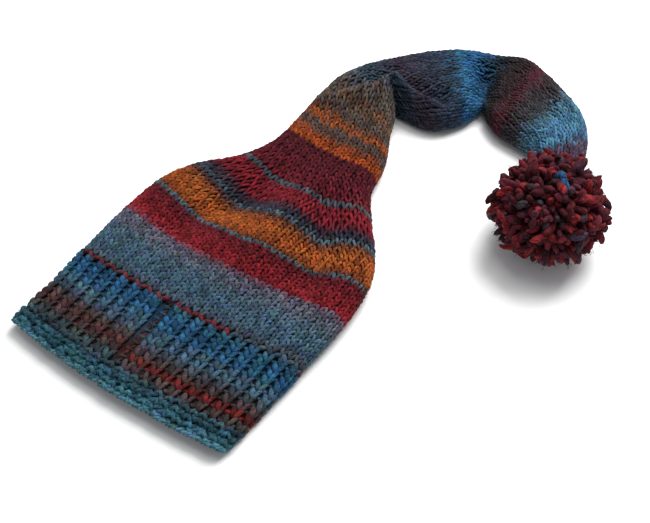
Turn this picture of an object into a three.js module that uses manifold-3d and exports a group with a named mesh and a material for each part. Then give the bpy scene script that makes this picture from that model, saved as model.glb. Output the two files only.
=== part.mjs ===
// A hand-knitted elf hat lying flat: edging, ribbed cuff, crown, long bent tail and pompom.
// Millimetres, +Z up. The floor is z = 0, the head opening faces -Y and the crown points along +Y.
import * as THREE from "three";
import { mergeVertices } from "three/addons/utils/BufferGeometryUtils.js";
import Module from "manifold-3d";

const wasm = await Module();
wasm.setup();

// ---------------------------------------------------------------- driving dimensions

const EDGING_DEPTH = 17; // garter rows along the head opening
const CUFF_END = 84; // last row of the ribbing, measured from the cast-on edge
const CROWN_END = 318; // row where the shoulders have narrowed to the tail
const TAIL_END = 780; // gathered tip
const PIECE_GAP = 0.5;

const EDGING_WALL = 5.2;
const CUFF_WALL = 6.4;
const CROWN_WALL = 5.5;
const TAIL_WALL = 5;
const LEAST_HOLLOW = 1.2; // the walls of a gathered stretch stay this far apart
const UNDER_SETBACK = 7; // the lower side of the brim lies this far behind the upper side
const TUCK_FULL = 0.75; // share of the half-width where a kink is at its highest

const RIBS = 36;
const RIB_DEPTH = 2.2;
const GARTER_RIDGES = 3;
const GARTER_DEPTH = 1.4;

const POMPOM_CENTRE = new THREE.Vector3(220, 180, 51);
const POMPOM_RADIUS = 59;
const POMPOM_CORE = 48;
const POMPOM_SQUASH = 0.92; // it sags a little under its own weight
const POMPOM_LOCKS = 60;
const LOCK_WIDTH = 24;
const LOCK_SIDES = 5;
const LOCK_UNEVENNESS = 5; // shortest lock against the longest
const LOCK_LEAN = 0.12; // how far a lock strays from the spread of its neighbours

// Fineness of the faceted skins
const CUFF_AROUND = 4 * RIBS;
const EDGING_AROUND = 48;
const CROWN_AROUND = 44;
const TAIL_AROUND = 24;

// The flattened hat, section by section. Each section stands upright between a left and a right
// edge; the knitting is flat on the floor below and gently domed above.
// row: mm of knitting from the cast-on edge, low: height of the underside, fold: thickness at the
// folded edges, dome: extra height at the middle, tuck: how far a kink pushes up the upper side
// beside the right edge, bow: how far the middle of the row hangs back towards the brim.
const SECTION_COLUMNS = [
  "row", "leftX", "leftY", "rightX", "rightY", "low", "fold", "dome", "tuck", "bow",
];
const SECTIONS = table(SECTION_COLUMNS, [
  [0, -110, -166, 121.5, -162, 0, 17, 0, 0, 7], // cast-on edge
  [45, -107.5, -118, 125, -111, 0, 23, 1, 0, 6],
  [84, -110, -81, 127, -71, 0, 26, 2, 0, 6], // top of the cuff
  [150, -112, -15, 130, -9, 0, 32, 5, 0, 15],
  [200, -108, 33, 125, 39, 0, 34, 7, 0, 24], // fullest part of the crown
  [235, -94, 64, 111, 68, 0, 34, 7, 0, 24],
  [265, -69, 95, 88, 98, 0, 33, 6, 0, 17], // shoulders
  [300, -54, 132, 64, 133, 0, 33, 5, 0, 12],
  [345, -55, 181, 54, 172, 0, 32, 4, 0, 10], // neck
  [385, -58, 220, 35, 211, 0, 33, 4, 0, 5],
  [410, -58, 246, 24, 236, 0, 33, 4, 6, 0],
  [430, -53, 267, 13, 252, 0, 31, 2, 13, 0], // first kink
  [450, -44, 286, 31, 249, 0, 32, 2, 9, 0],
  [480, -26, 312, 55, 248, 0, 31, 3, 2, 0], // lobe after the kink
  [515, 0, 339, 72, 258, 0, 34, 5, 0, 0],
  [545, 31, 363, 84, 280, 0, 35, 4, 0, 0],
  [575, 62, 379, 88, 303, 0, 31, 2, 2, 0], // second kink
  [605, 93, 389, 101, 290, 0, 34, 4, 0, 0],
  [640, 126, 377, 118, 279, 0, 35, 4, 0, 0],
  [670, 155, 361, 142, 275, 0, 35, 4, 0, 0],
  [700, 182, 342, 161, 272, 0, 34, 4, 0, 0],
  [725, 200, 315, 174, 260, 0, 33, 3, 0, 0],
  [745, 210, 285, 184, 246, 3, 31, 2, 0, 0],
  [765, 216, 257, 190, 236, 12, 27, 1, 0, 0],
  [780, 217, 233, 199, 224, 20, 21, 0, 0, 0], // gathered tip
]);

// Soft creases and hollows pressed into the upper side: a line on the floor plan, the height it
// adds and how wide it spreads.
const CREASE_COLUMNS = ["fromX", "fromY", "toX", "toY", "rise", "spread"];
const CREASES = table(CREASE_COLUMNS, [
  [-45, -8, -12, 82, -8, 22], // left hollow of the crown
  [-26, 28, -16, 52, -6, 17], // its deepest part
  [34, -2, 26, 56, 6, 16], // soft ridge between the hollows
  [86, 2, 46, 84, -8, 15], // right hollow of the crown
  [74, 34, 64, 56, -5, 14], // its deepest part
  [-34, 200, 8, 256, 10, 11], // ridge running up to the first kink
  [-42, 226, -6, 274, -10, 12], // hollow beside it
  [13, 257, 54, 257, 7, 7], // the ridge running down again
  [10, 274, 58, 274, -10, 9], // hollow behind it
  [88, 304, 70, 338, -17, 12], // deep hollow of the second kink
  [74, 346, 84, 366, -6, 9], // its shallow end
  [103, 350, 112, 300, -6, 9], // hollows and ridge of the last lobe
  [119, 350, 128, 288, 4, 8],
  [141, 336, 156, 308, -6, 9],
  [173, 328, 174, 288, -5, 6], // groove near the gathered end
]);

// ---------------------------------------------------------------- helpers

function table(columns, rows) {
  return rows.map((row) => Object.fromEntries(columns.map((name, i) => [name, row[i]])));
}

// A smooth curve through one column of the section table.
function sectionValue(row, column) {
  const last = SECTIONS.length - 1;
  let i = 0;
  while (i < last - 1 && SECTIONS[i + 1].row <= row) i += 1;
  const slope = (k) => {
    const a = SECTIONS[Math.max(k - 1, 0)];
    const b = SECTIONS[Math.min(k + 1, last)];
    return (b[column] - a[column]) / (b.row - a.row);
  };
  const [a, b] = [SECTIONS[i], SECTIONS[i + 1]];
  const span = b.row - a.row;
  const t = THREE.MathUtils.clamp((row - a.row) / span, 0, 1);
  const rise = t * t * (3 - 2 * t);
  const start = t * (1 - t) * (1 - t) * span * slope(i);
  const end = t * t * (t - 1) * span * slope(i + 1);
  return a[column] + (b[column] - a[column]) * rise + start + end;
}

function sectionAt(row) {
  return Object.fromEntries(SECTION_COLUMNS.map((name) => [name, sectionValue(row, name)]));
}

// Height that the creases add at a point of the floor plan.
function creaseHeight(x, y) {
  let height = 0;
  for (const crease of CREASES) {
    const dx = crease.toX - crease.fromX;
    const dy = crease.toY - crease.fromY;
    const length = Math.hypot(dx, dy);
    const along = ((x - crease.fromX) * dx + (y - crease.fromY) * dy) / length;
    const beside = ((x - crease.fromX) * dy - (y - crease.fromY) * dx) / length;
    const past = Math.max(0, -along, along - length);
    height += crease.rise * Math.exp(-(beside ** 2 + past ** 2) / crease.spread ** 2);
  }
  return height;
}

// A point of the knitted wall. turn runs once round the section from 0 at the right edge, over
// the top to 0.5 at the left edge and back below. inset is the depth under the outer face.
function knitPoint(section, turn, inset) {
  const left = new THREE.Vector2(section.leftX, section.leftY);
  const right = new THREE.Vector2(section.rightX, section.rightY);
  const half = left.distanceTo(right) / 2;
  const radius = Math.min(section.fold / 2, half);
  const flat = half - radius;
  const bend = Math.PI * radius;
  const side = ((turn % 1) + 1) % 1;
  let travel = side * (4 * flat + 2 * bend);
  const inner = Math.max(radius - inset, LEAST_HOLLOW);
  let across = 0;
  let up = 0;
  if (travel < bend / 2 || travel >= 4 * flat + 1.5 * bend) {
    if (travel >= bend / 2) travel -= 4 * flat + 2 * bend;
    across = flat + inner * Math.cos(travel / radius);
    up = inner * Math.sin(travel / radius);
  } else if (travel < bend / 2 + 2 * flat) {
    across = flat - (travel - bend / 2);
    up = inner;
  } else if (travel < 1.5 * bend + 2 * flat) {
    const angle = Math.PI / 2 + (travel - bend / 2 - 2 * flat) / radius;
    across = -flat + inner * Math.cos(angle);
    up = inner * Math.sin(angle);
  } else {
    across = travel - 1.5 * bend - 3 * flat;
    up = -inner;
  }
  const share = across / half;
  const back = new THREE.Vector2(right.y - left.y, left.x - right.x).setLength(section.bow);
  const place = left.lerp(right, 0.5 + share / 2).addScaledVector(back, 1 - share ** 2);
  const top = Math.max(0, up / inner) ** 2;
  const raised = (section.dome * (1 - share ** 2) + creaseHeight(place.x, place.y)) * top;
  const upper = (1 + up / inner) / 2;
  const tucked = section.tuck * upper * THREE.MathUtils.smoothstep(share, 0.1, TUCK_FULL);
  place.y += UNDER_SETBACK * (1 - upper) * Math.max(0, 1 - section.row / CUFF_END);
  const floor = Math.max(section.low, 0);
  return new THREE.Vector3(place.x, place.y, floor + radius + up + raised + tucked);
}

function meshFrom(points, triangles) {
  const geometry = new THREE.BufferGeometry();
  const numbers = points.flatMap((p) => [p.x, p.y, p.z]);
  geometry.setAttribute("position", new THREE.Float32BufferAttribute(numbers, 3));
  geometry.setIndex(triangles);
  geometry.computeVertexNormals();
  return geometry;
}

// Rows at which a piece gets a ring of points, evenly spaced between its two ends.
function evenRows(from, to, count) {
  return Array.from({ length: count + 1 }, (_, i) => from + ((to - from) * i) / count);
}

// Rows at the sections of the table between two ends, and halfway between them.
function sectionRows(from, to) {
  const marks = SECTIONS.map((section) => section.row).filter((row) => row > from && row < to);
  const ends = [from, ...marks, to];
  return ends.flatMap((row, i) => (i ? [(ends[i - 1] + row) / 2, row] : [row]));
}

// A ring of points round one section. relief(row, turn) sinks the face below its full thickness.
function ring(row, around, inset, relief) {
  const section = sectionAt(row);
  return Array.from({ length: around }, (_, i) => {
    const turn = i / around;
    return knitPoint(section, turn, inset + (relief ? relief(row, turn) : 0));
  });
}

// Two triangles for each quad between neighbouring rings of a skin.
function skinTriangles(triangles, start, rings, around, outward) {
  for (let r = 0; r < rings - 1; r += 1) {
    for (let i = 0; i < around; i += 1) {
      const a = start + r * around + i;
      const b = start + r * around + ((i + 1) % around);
      const [c, d] = [a + around, b + around];
      triangles.push(...(outward ? [a, c, b, b, c, d] : [a, b, c, b, d, c]));
    }
  }
}

// A knitted wall between two rows: an outer and an inner skin, open at both ends, or with the far
// end gathered shut. The two skins are joined by flat end faces.
function knittedWall({ rows, innerRows, around, wall, relief, gathered }) {
  const points = [];
  const triangles = [];
  const skin = (places, inset, shape, outward) => {
    const start = points.length;
    places.forEach((row) => points.push(...ring(row, around, inset, shape)));
    skinTriangles(triangles, start, places.length, around, outward);
    return { start, end: start + (places.length - 1) * around };
  };
  const outer = skin(rows, 0, relief, true);
  const inner = skin(innerRows, wall, null, false);
  for (let i = 0; i < around; i += 1) {
    const next = (i + 1) % around;
    const [a, b] = [outer.start + i, outer.start + next];
    const [c, d] = [inner.start + i, inner.start + next];
    triangles.push(a, b, c, b, d, c);
    if (!gathered) {
      const [e, f] = [outer.end + i, outer.end + next];
      const [g, h] = [inner.end + i, inner.end + next];
      triangles.push(e, g, f, f, g, h);
    }
  }
  if (gathered) {
    closeRing(points, triangles, outer.end, around, true);
    closeRing(points, triangles, inner.end, around, false);
  }
  return meshFrom(points, triangles);
}

// A fan over the last ring of a skin.
function closeRing(points, triangles, start, around, outward) {
  const middle = new THREE.Vector3();
  for (let i = 0; i < around; i += 1) middle.addScaledVector(points[start + i], 1 / around);
  const centre = points.push(middle) - 1;
  for (let i = 0; i < around; i += 1) {
    const [a, b] = [start + i, start + ((i + 1) % around)];
    triangles.push(...(outward ? [b, a, centre] : [a, b, centre]));
  }
}

function knit(name, colour, geometry) {
  const material = new THREE.MeshStandardMaterial({ color: colour, roughness: 0.95, metalness: 0 });
  const mesh = new THREE.Mesh(geometry, material);
  mesh.name = name;
  return mesh;
}

// ---------------------------------------------------------------- brim edging

// Garter ridges run along the opening, one wave for each pair of rows.
function garterRelief(row) {
  return GARTER_DEPTH * 0.5 * (1 + Math.cos((2 * Math.PI * GARTER_RIDGES * row) / EDGING_DEPTH));
}

function brimEdging() {
  const end = EDGING_DEPTH - PIECE_GAP / 2;
  return knittedWall({
    rows: evenRows(0, end, 2 * GARTER_RIDGES),
    innerRows: [0, end],
    around: EDGING_AROUND,
    wall: EDGING_WALL,
    relief: garterRelief,
  });
}

// ---------------------------------------------------------------- ribbed cuff

function ribRelief(row, turn) {
  return RIB_DEPTH * 0.5 * (1 - Math.cos(2 * Math.PI * RIBS * turn));
}

function ribbedCuff() {
  const start = EDGING_DEPTH + PIECE_GAP / 2;
  const end = CUFF_END - PIECE_GAP / 2;
  return knittedWall({
    rows: evenRows(start, end, 3),
    innerRows: evenRows(start, end, 2),
    around: CUFF_AROUND,
    wall: CUFF_WALL,
    relief: ribRelief,
  });
}

// ---------------------------------------------------------------- crown and tail

function crown() {
  const rows = sectionRows(CUFF_END + PIECE_GAP / 2, CROWN_END - PIECE_GAP / 2);
  return knittedWall({
    rows,
    innerRows: rows,
    around: CROWN_AROUND,
    wall: CROWN_WALL,
  });
}

function tail() {
  const rows = sectionRows(CROWN_END + PIECE_GAP / 2, TAIL_END);
  return knittedWall({
    rows,
    innerRows: rows.slice(0, -2),
    around: TAIL_AROUND,
    wall: TAIL_WALL,
    gathered: true,
  });
}

// ---------------------------------------------------------------- pompom

function solidFrom(geometry) {
  const plain = geometry.clone();
  plain.deleteAttribute("normal");
  plain.deleteAttribute("uv");
  const merged = mergeVertices(plain, 1e-3);
  const vertProperties = merged.attributes.position.array;
  const triVerts = new Uint32Array(merged.index.array);
  return new wasm.Manifold(new wasm.Mesh({ numProp: 3, vertProperties, triVerts }));
}

function geometryFrom(solid) {
  const { vertProperties, triVerts } = solid.getMesh();
  const geometry = new THREE.BufferGeometry();
  geometry.setAttribute("position", new THREE.BufferAttribute(vertProperties, 3));
  geometry.setIndex(new THREE.BufferAttribute(triVerts, 1));
  return geometry;
}

// Moves a shape made round the origin to its place in the sagging pompom.
function settled(geometry) {
  return geometry.scale(1, 1, POMPOM_SQUASH).translate(...POMPOM_CENTRE.toArray());
}

// One lock of cut yarn: a bundle that widens outwards from the core to a rounded tuft.
function yarnLock(direction, length) {
  const half = LOCK_WIDTH / 2;
  const profile = [
    new THREE.Vector2(0, POMPOM_CORE * 0.6),
    new THREE.Vector2(half * 0.55, POMPOM_CORE * 0.6),
    new THREE.Vector2(half, length - half * 0.9),
    new THREE.Vector2(half * 0.6, length - half * 0.15),
    new THREE.Vector2(0, length),
  ];
  const lock = new THREE.LatheGeometry(profile, LOCK_SIDES);
  const turn = new THREE.Quaternion().setFromUnitVectors(new THREE.Vector3(0, 1, 0), direction);
  return settled(lock.applyQuaternion(turn));
}

// Directions spread over a ball on a golden-angle spiral, each one straying a little.
function spreadDirection(i, count) {
  const height = 1 - (2 * (i + 0.5)) / count;
  const angle = i * Math.PI * (3 - Math.sqrt(5));
  const reach = Math.sqrt(1 - height * height);
  const even = new THREE.Vector3(reach * Math.cos(angle), reach * Math.sin(angle), height);
  const stray = new THREE.Vector3(Math.sin(5 * i), Math.sin(7 * i + 1), Math.sin(11 * i + 2));
  return even.addScaledVector(stray, LOCK_LEAN).normalize();
}

// The tail's outer face, closed and a little swollen, so that the pompom keeps clear of it.
function tailPlug() {
  const points = [];
  const triangles = [];
  const rows = sectionRows(CROWN_END, TAIL_END);
  rows.forEach((row) => points.push(...ring(row, TAIL_AROUND, -2 * PIECE_GAP, null)));
  skinTriangles(triangles, 0, rows.length, TAIL_AROUND, true);
  closeRing(points, triangles, 0, TAIL_AROUND, false);
  closeRing(points, triangles, (rows.length - 1) * TAIL_AROUND, TAIL_AROUND, true);
  return solidFrom(meshFrom(points, triangles));
}

function pompom() {
  let ball = solidFrom(settled(new THREE.IcosahedronGeometry(POMPOM_CORE, 2)));
  for (let i = 0; i < POMPOM_LOCKS; i += 1) {
    const length = POMPOM_RADIUS - LOCK_UNEVENNESS * ((i * 7) % 5) / 4;
    ball = ball.add(solidFrom(yarnLock(spreadDirection(i, POMPOM_LOCKS), length)));
  }
  const side = 4 * POMPOM_RADIUS;
  const room = new THREE.BoxGeometry(side, side, side);
  room.translate(POMPOM_CENTRE.x, POMPOM_CENTRE.y, side / 2);
  const rested = ball.intersect(solidFrom(room)).subtract(tailPlug());
  const pieces = rested.decompose().sort((a, b) => b.volume() - a.volume());
  return geometryFrom(pieces[0]);
}

const hat = new THREE.Group();
hat.name = "elf_hat";
hat.add(knit("brim_edging", "#3f6f80", brimEdging()));
hat.add(knit("ribbed_cuff", "#2a5f92", ribbedCuff()));
hat.add(knit("crown", "#8e2230", crown()));
hat.add(knit("tail", "#5c4a46", tail()));
hat.add(knit("pompom", "#5a1a28", pompom()));

export default hat;
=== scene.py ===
# %% [markdown]
# # A hand-knitted elf hat
# A long-tailed hat of chunky self-striping wool lies flat: a garter edging, a ribbed cuff, a plain
# knitted crown, a long tail with two kinks and a cut-yarn pompom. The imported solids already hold
# the shape. This script dresses them with real yarn: every stitch you see is a small bent tube.

# %% Load the frame
import math
import bpy
import numpy as np
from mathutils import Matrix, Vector


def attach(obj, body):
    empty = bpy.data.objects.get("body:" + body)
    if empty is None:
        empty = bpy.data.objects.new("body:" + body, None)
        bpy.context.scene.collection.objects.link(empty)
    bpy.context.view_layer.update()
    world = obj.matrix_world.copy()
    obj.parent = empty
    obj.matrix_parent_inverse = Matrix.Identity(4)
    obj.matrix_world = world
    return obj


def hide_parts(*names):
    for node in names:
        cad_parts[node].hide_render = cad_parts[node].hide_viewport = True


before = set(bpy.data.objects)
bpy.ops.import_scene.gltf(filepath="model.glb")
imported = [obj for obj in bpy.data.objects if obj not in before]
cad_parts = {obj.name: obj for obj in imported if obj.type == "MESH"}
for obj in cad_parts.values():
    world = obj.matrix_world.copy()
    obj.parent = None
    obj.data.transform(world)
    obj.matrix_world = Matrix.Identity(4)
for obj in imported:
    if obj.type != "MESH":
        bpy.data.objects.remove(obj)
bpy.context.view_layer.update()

MM = 0.001
FLOOR_Z = 0.0
print("solids to dress:", sorted(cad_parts))

# %% [markdown]
# ## The shape of the hat, section by section
# A flattened hat is a tube whose cross-section is a stadium: two flat layers and two rounded folds.
# A cloth simulation could drop a tube on the floor, but the kinks would fall somewhere else each
# time. A short table of sections, joined by smooth curves, keeps them where the solids have them.

# %% Section table
# row: mm of knitting from the cast-on edge; left and right: the folded edges on the floor plan;
# low: height of the underside; fold: thickness at the edges; dome: extra height in the middle;
# tuck: how far a kink pushes up the upper side beside the right edge; bow: how far the middle
# hangs back towards the brim.
SECTION_COLUMNS = (
    "row", "leftX", "leftY", "rightX", "rightY", "low", "fold", "dome", "tuck", "bow",
)
SECTIONS = np.array([
    [0, -110, -166, 121.5, -162, 0, 17, 0, 0, 7],
    [45, -107.5, -118, 125, -111, 0, 23, 1, 0, 6],
    [84, -110, -81, 127, -71, 0, 26, 2, 0, 6],
    [150, -112, -15, 130, -9, 0, 32, 5, 0, 15],
    [200, -108, 33, 125, 39, 0, 34, 7, 0, 24],
    [235, -94, 64, 111, 68, 0, 34, 7, 0, 24],
    [265, -69, 95, 88, 98, 0, 33, 6, 0, 17],
    [300, -54, 132, 64, 133, 0, 33, 5, 0, 12],
    [345, -55, 181, 54, 172, 0, 32, 4, 0, 10],
    [385, -58, 220, 35, 211, 0, 33, 4, 0, 5],
    [410, -58, 246, 24, 236, 0, 33, 4, 6, 0],
    [430, -53, 267, 13, 252, 0, 31, 2, 13, 0],
    [450, -44, 286, 31, 249, 0, 32, 2, 9, 0],
    [480, -26, 312, 55, 248, 0, 31, 3, 2, 0],
    [515, 0, 339, 72, 258, 0, 34, 5, 0, 0],
    [545, 31, 363, 84, 280, 0, 35, 4, 0, 0],
    [575, 62, 379, 88, 303, 0, 31, 2, 2, 0],
    [605, 93, 389, 101, 290, 0, 34, 4, 0, 0],
    [640, 126, 377, 118, 279, 0, 35, 4, 0, 0],
    [670, 155, 361, 142, 275, 0, 35, 4, 0, 0],
    [700, 182, 342, 161, 272, 0, 34, 4, 0, 0],
    [725, 200, 315, 174, 260, 0, 33, 3, 0, 0],
    [745, 210, 285, 184, 246, 3, 31, 2, 0, 0],
    [765, 216, 257, 190, 236, 12, 27, 1, 0, 0],
    [780, 217, 233, 199, 224, 20, 21, 0, 0, 0],
], float)
# Creases and hollows of the upper side, each a line on the floor plan. The columns are
# from x, from y, to x, to y, rise and spread.
CREASES = np.array([
    [-45, -8, -12, 82, -8, 22],
    [-26, 28, -16, 52, -6, 17],
    [34, -2, 26, 56, 6, 16],
    [86, 2, 46, 84, -8, 15],
    [74, 34, 64, 56, -5, 14],
    [-34, 200, 8, 256, 10, 11],
    [-42, 226, -6, 274, -10, 12],
    [13, 257, 54, 257, 7, 7],
    [10, 274, 58, 274, -10, 9],
    [88, 304, 70, 338, -17, 12],
    [74, 346, 84, 366, -6, 9],
    [103, 350, 112, 300, -6, 9],
    [119, 350, 128, 288, 4, 8],
    [141, 336, 156, 308, -6, 9],
    [173, 328, 174, 288, -5, 6],
], float)
EDGING_DEPTH, CUFF_END, CROWN_END, TAIL_END = 17, 84, 318, 780
EDGING_WALL, CUFF_WALL, CROWN_WALL, TAIL_WALL = 5.2, 6.4, 5.5, 5.0
LEAST_HOLLOW = 1.2  # mm: the folds never close inside
UNDER_SETBACK = 7  # mm that the lower side of the brim lies behind the upper side
TUCK_START, TUCK_FULL = 0.1, 0.75  # shares of half the width where a kink begins and is full
NORMAL_STEP = 1.5  # mm to either side, where the points lie that give a normal
print(f"{len(SECTIONS)} sections, {TAIL_END} mm of knitting from edge to tip")

# %% Points on the knitting
def sections_at(rows):
    """Every column of the section table at the given rows, on smooth curves."""
    marks = SECTIONS[:, 0]
    last = len(marks) - 1
    at = np.clip(np.searchsorted(marks, rows, side="right") - 1, 0, last - 1)
    before = np.maximum(np.arange(last + 1) - 1, 0)
    after = np.minimum(np.arange(last + 1) + 1, last)
    slopes = (SECTIONS[after] - SECTIONS[before]) / (marks[after] - marks[before])[:, None]
    span = (marks[at + 1] - marks[at])[..., None]
    t = np.clip((rows - marks[at])[..., None] / span, 0, 1)
    rise = t * t * (3 - 2 * t)
    start = t * (1 - t) ** 2 * span * slopes[at]
    end = t * t * (t - 1) * span * slopes[at + 1]
    values = SECTIONS[at] + (SECTIONS[at + 1] - SECTIONS[at]) * rise + start + end
    values = values + np.minimum(rows - marks[0], 0)[..., None] * slopes[0]
    return dict(zip(SECTION_COLUMNS, np.moveaxis(values, -1, 0)))


def stadium(section):
    """Half the width, radius of the folds, half-width of the flat part and the way round."""
    half = np.hypot(
        section["rightX"] - section["leftX"], section["rightY"] - section["leftY"]
    ) / 2
    radius = np.minimum(section["fold"] / 2, half)
    flat = half - radius
    return half, radius, flat, 4 * flat + 2 * math.pi * radius


def way_round(rows):
    """Length once round the knitting at each row, in mm."""
    return stadium(sections_at(np.asarray(rows, float)))[3]


def crease_height(x, y):
    """What the creases add to the height of the upper side."""
    height = np.zeros_like(x)
    for from_x, from_y, to_x, to_y, rise, spread in CREASES:
        dx, dy = to_x - from_x, to_y - from_y
        length = math.hypot(dx, dy)
        along = ((x - from_x) * dx + (y - from_y) * dy) / length
        beside = ((x - from_x) * dy - (y - from_y) * dx) / length
        past = np.maximum(0, np.maximum(-along, along - length))
        height += rise * np.exp(-(beside**2 + past**2) / spread**2)
    return height


def knit_points(rows, turns, inset):
    """Points of the knitted wall. A turn runs from 0 at the right edge over the top to 0.5 at the
    left edge and back below; inset is the depth under the outer face."""
    rows, turns, inset = np.broadcast_arrays(rows, turns, inset)
    section = sections_at(rows)
    half, radius, flat, around = stadium(section)
    bend = math.pi * radius
    travel = (turns % 1.0) * around
    inner = np.maximum(radius - inset, LEAST_HOLLOW)
    right_travel = np.where(travel < bend / 2, travel, travel - around)
    right_fold = (travel < bend / 2) | (travel >= 4 * flat + 1.5 * bend)
    upper = travel < bend / 2 + 2 * flat
    left_fold = travel < 1.5 * bend + 2 * flat
    left_angle = math.pi / 2 + (travel - bend / 2 - 2 * flat) / radius
    across = np.select(
        [right_fold, upper, left_fold],
        [
            flat + inner * np.cos(right_travel / radius),
            flat - (travel - bend / 2),
            -flat + inner * np.cos(left_angle),
        ],
        travel - 1.5 * bend - 3 * flat,
    )
    up = np.select(
        [right_fold, upper, left_fold],
        [inner * np.sin(right_travel / radius), inner, inner * np.sin(left_angle)],
        -inner,
    )
    share = across / half
    side = 0.5 + share / 2
    dx = section["rightX"] - section["leftX"]
    dy = section["rightY"] - section["leftY"]
    bow = section["bow"] * (1 - share**2) / (2 * half)
    x = section["leftX"] + dx * side + dy * bow
    y = section["leftY"] + dy * side - dx * bow
    top = np.maximum(0, up / inner) ** 2
    raised = (section["dome"] * (1 - share**2) + crease_height(x, y)) * top
    lift = np.clip((share - TUCK_START) / (TUCK_FULL - TUCK_START), 0, 1)
    upper_share = (1 + up / inner) / 2
    tucked = section["tuck"] * upper_share * lift * lift * (3 - 2 * lift)
    y += UNDER_SETBACK * (1 - upper_share) * np.maximum(0, 1 - rows / CUFF_END)
    z = np.maximum(section["low"], 0) + radius + up + raised + tucked
    return np.stack([x, y, z], -1)


def unit(vectors):
    """Vectors scaled to length 1."""
    length = np.linalg.norm(vectors, axis=-1, keepdims=True)
    return vectors / np.maximum(length, 1e-9)


def knit_surface(rows, turns, inset):
    """Points of the knitted wall with their outward normals."""
    rows, turns = np.broadcast_arrays(rows, turns)
    before, after = rows - NORMAL_STEP, rows + NORMAL_STEP
    aside = NORMAL_STEP / way_round(rows)
    points = knit_points(rows, turns, inset)
    along = knit_points(after, turns, inset) - knit_points(before, turns, inset)
    across = knit_points(rows, turns + aside, inset) - knit_points(rows, turns - aside, inset)
    return points, unit(np.cross(along, across))


print(f"round the brim: {way_round(0):.0f} mm, round the crown: {way_round(200):.0f} mm")

# %% [markdown]
# ## Yarn as joined tubes
# A particle system or geometry nodes could scatter one stitch thousands of times, but instances
# are lost when the piece is exported. Here numpy works out all the tubes of a piece at once and
# fills one mesh, which is fast and stays a plain mesh.
# Each corner also gets a place on a map with one small cell for each tube, so that the colours can
# be baked, and each point keeps its place along the wool, which the material reads.

# %% Tube maker
PLY_RADIUS = 1.8  # mm: how fast the wool's pattern runs round the strand
WOOL_APART = 37.0  # mm of wool between the pattern of one tube and that of the next
TIP_REACH = 0.5  # length of a tube's pointed end as a share of its radius
CELL_GAP = 0.06  # share of a map cell that stays empty on each side
FLOOR_REST = 0.15  # mm: yarn on the floor is pressed flat just above it


def yarn_tubes(centres, normals, across, up, light, sides, twist_mm=9.0):
    """Bent tubes with pointed ends. centres and normals are (tubes, stations, 3) in mm; across and
    up are the radii and light the brightness at each station. Gives points, faces, the corners'
    places in a cell of the map and the points' places in the wool."""
    count, stations = centres.shape[:2]
    tangent = unit(np.gradient(centres, axis=1))
    aside = unit(np.cross(tangent, normals))
    above = np.cross(aside, tangent)
    angle = 2 * math.pi * np.arange(sides) / sides
    ring = (
        centres[:, :, None]
        + (across[..., None] * np.cos(angle))[..., None] * aside[:, :, None]
        + (up[..., None] * np.sin(angle))[..., None] * above[:, :, None]
    )
    reach = across[:, [0, -1], None] * TIP_REACH
    tips = centres[:, [0, -1]] + tangent[:, [0, -1]] * reach * np.array([-1, 1])[None, :, None]
    points = np.concatenate([ring.reshape(count, -1, 3), tips], axis=1)
    length = np.linalg.norm(np.diff(centres, axis=1), axis=2).cumsum(1)
    length = np.concatenate([np.zeros((count, 1)), length], axis=1)
    spin = angle[None, None] + 2 * math.pi * length[..., None] / twist_mm
    far = (np.arange(count) * WOOL_APART)[:, None, None]
    wool = np.stack(
        [
            np.cos(spin) * PLY_RADIUS, np.sin(spin) * PLY_RADIUS,
            length[..., None] + far + 0 * spin,
        ], -1
    ).reshape(count, -1, 3)
    ends = np.stack([0 * length[:, [0, -1]], 0 * length[:, [0, -1]], length[:, [0, -1]]], -1)
    ends[..., 2] += far[:, 0]
    wool = np.concatenate([wool, ends], axis=1)
    # The brightness is random tone times painted shade; the material multiplies it into the colour.
    shade = np.concatenate([np.repeat(light, sides, axis=1), light[:, [0, -1]]], axis=1)

    # One tube's faces, counted from its own first point, and the corners' places in its map cell.
    quads, quad_map, tris, tri_map = [], [], [], []
    for s in range(stations - 1):
        for i in range(sides):
            j = (i + 1) % sides
            a, b = s * sides + i, s * sides + j
            quads.append([a, a + sides, b + sides, b])
            quad_map.append([[i, s + 1], [i, s + 2], [i + 1, s + 2], [i + 1, s + 1]])
    start_tip = stations * sides
    last = (stations - 1) * sides
    for i in range(sides):
        j = (i + 1) % sides
        tris.append([i, j, start_tip])
        tri_map.append([[i, 1], [i + 1, 1], [i + 0.5, 0]])
        tris.append([last + j, last + i, start_tip + 1])
        tri_map.append([[i + 1, stations], [i, stations], [i + 0.5, stations + 1]])
    size = np.array([sides, stations + 1], float)
    return {
        "points": points,
        "wool": wool,
        "shade": shade,
        "quads": np.array(quads),
        "tris": np.array(tris),
        "quad_map": np.array(quad_map) / size,
        "tri_map": np.array(tri_map) / size,
    }


def mesh_of(name, points, faces_by_size, maps_by_size):
    """A mesh from plain arrays: points in metres, faces and their map corners by corner count."""
    mesh = bpy.data.meshes.new(name)
    mesh.vertices.add(len(points))
    mesh.vertices.foreach_set("co", points.astype(np.float32).ravel())
    corners = np.concatenate([faces.ravel() for faces in faces_by_size])
    sizes = np.concatenate([np.full(len(faces), faces.shape[1]) for faces in faces_by_size])
    mesh.loops.add(len(corners))
    mesh.loops.foreach_set("vertex_index", corners.astype(np.int32))
    mesh.polygons.add(len(sizes))
    starts = np.concatenate([[0], np.cumsum(sizes)[:-1]])
    mesh.polygons.foreach_set("loop_start", starts.astype(np.int32))
    layer = mesh.uv_layers.new(name="OFBake")
    places = np.concatenate([corner.reshape(-1, 2) for corner in maps_by_size])
    layer.uv.foreach_set("vector", places.astype(np.float32).ravel())
    mesh.update(calc_edges=True)
    mesh.validate()
    mesh.polygons.foreach_set("use_smooth", np.ones(len(mesh.polygons), bool))
    return mesh


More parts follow.
